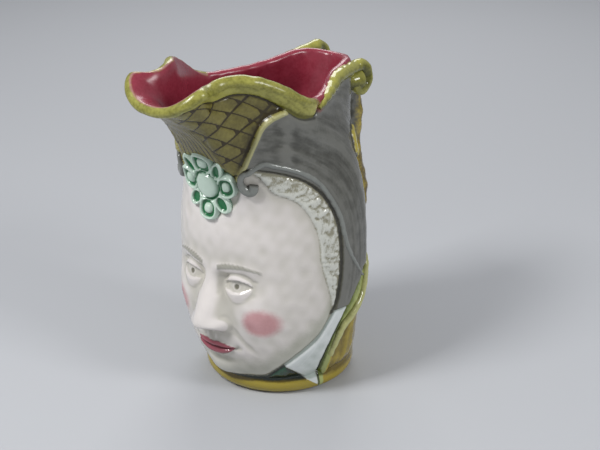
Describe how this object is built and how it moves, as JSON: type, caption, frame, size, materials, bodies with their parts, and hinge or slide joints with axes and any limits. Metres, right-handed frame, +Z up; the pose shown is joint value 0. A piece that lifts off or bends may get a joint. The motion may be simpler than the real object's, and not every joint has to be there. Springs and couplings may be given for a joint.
{
  "type": "face jug",
  "caption": "Ceramic face jug with a hooded head, a wide lobed pouring lip, scrolled rim bands and a branch handle, standing on a rolled foot",
  "frame": {"origin": "centre of the underside of the rolled foot, on the surface that the jug stands on", "axes": "+Z up along the jug's height; -Y the way the face and the pouring lip look; +Y the handle side; +X to the viewer's right when facing the face"},
  "size_m": [0.1154, 0.1818, 0.1994],
  "materials": {
    "majolica_glaze": "glossy fired glaze over earthenware, hand coloured"
  },
  "bodies": {
    "root": {"jug": "majolica_glaze"}
  },
  "joints": []
}
